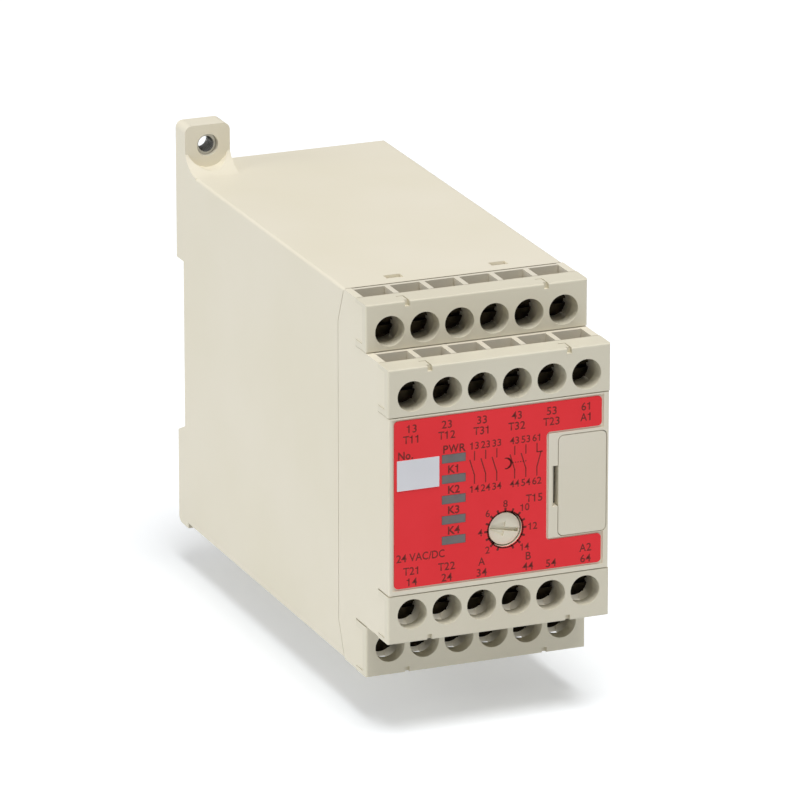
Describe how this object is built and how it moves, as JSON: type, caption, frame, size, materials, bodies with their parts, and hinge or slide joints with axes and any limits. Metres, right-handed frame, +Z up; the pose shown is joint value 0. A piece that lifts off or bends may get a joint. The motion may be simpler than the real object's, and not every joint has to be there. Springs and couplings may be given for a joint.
{
  "type": "safety relay",
  "caption": "Safety relay for a mounting rail: narrow stepped housing with covered screw terminals, red face label, indicator windows, recessed time dial and a clip-off connector cover.",
  "frame": {"origin": "on the rear mounting plane, midway across the housing and at mid height", "axes": "+Y towards the rear, so the face label looks along -Y; +Z up; +X to the right of someone facing the label"},
  "size_m": [0.0452, 0.1121, 0.0924],
  "materials": {
    "housing_plastic": "fine moulded texture, warm beige",
    "label_red": "satin printed film, red",
    "tag_white": "matt write-on film, white",
    "lens_grey": "smoky clear plastic",
    "led_clear": "clear resin",
    "socket_black": "matt black plastic",
    "switch_blue": "matt blue plastic",
    "screw_steel": "passivated steel, satin",
    "terminal_brass": "tinned and bare brass, satin",
    "insert_nickel": "nickel plated, satin",
    "spring_steel": "drawn wire, bright",
    "board_green": "solder mask over glass fibre",
    "relay_shell": "smooth white plastic",
    "capacitor_can": "sleeved can",
    "module_black": "moulded black block"
  },
  "bodies": {
    "housing": {"case": "housing_plastic", "front_housing": "housing_plastic", "din_hook_spring": "spring_steel", "upper_mount_insert": "insert_nickel", "lower_mount_insert": "insert_nickel", "face_label": "label_red", "marking_label": "tag_white", "light_guide": "lens_grey", "indicator_leds": "led_clear", "timer_switch_body": "switch_blue", "expansion_connector": "socket_black", "front_board": "board_green", "terminal_board": "board_green", "relay_board": "board_green", "control_board": "board_green", "board_header": "module_black", "power_module": "module_black", "control_processors": "module_black", "filter_capacitor_1": "capacitor_can", "filter_capacitor_2": "capacitor_can", "safety_relay_1": "relay_shell", "terminal_cover_row_1": "housing_plastic", "terminal_block_row_1": "housing_plastic", "terminal_screws_row_1": "screw_steel", "terminal_lugs_row_1": "terminal_brass", "safety_relay_2": "relay_shell", "terminal_cover_row_2": "housing_plastic", "terminal_block_row_2": "housing_plastic", "terminal_screws_row_2": "screw_steel", "terminal_lugs_row_2": "terminal_brass", "safety_relay_3": "relay_shell", "terminal_cover_row_3": "housing_plastic", "terminal_block_row_3": "housing_plastic", "terminal_screws_row_3": "screw_steel", "terminal_lugs_row_3": "terminal_brass", "safety_relay_4": "relay_shell", "terminal_cover_row_4": "housing_plastic", "terminal_block_row_4": "housing_plastic", "terminal_screws_row_4": "screw_steel", "terminal_lugs_row_4": "terminal_brass"},
    "dial": {"timer_dial": "housing_plastic"},
    "connector_cover": {"connector_cover": "housing_plastic"},
    "rail_hook": {"din_hook": "housing_plastic"}
  },
  "joints": [
    {"name": "dial_turn", "type": "hinge", "parent": "housing", "child": "dial", "pos_m": [0.00125, -0.1104, -0.0068], "axis": [0, -1, 0], "range_deg": [-236.5, 78.5]},
    {"name": "connector_cover_pull", "type": "slide", "parent": "housing", "child": "connector_cover", "axis": [0, -1, 0], "range_m": [0, 0.01]},
    {"name": "rail_hook_slide", "type": "slide", "parent": "housing", "child": "rail_hook", "axis": [0, 0, -1], "range_m": [0, 0.0032], "stiffness_N_per_m": 1500, "springref_m": -0.003, "deforming": ["din_hook_spring"]}
  ]
}
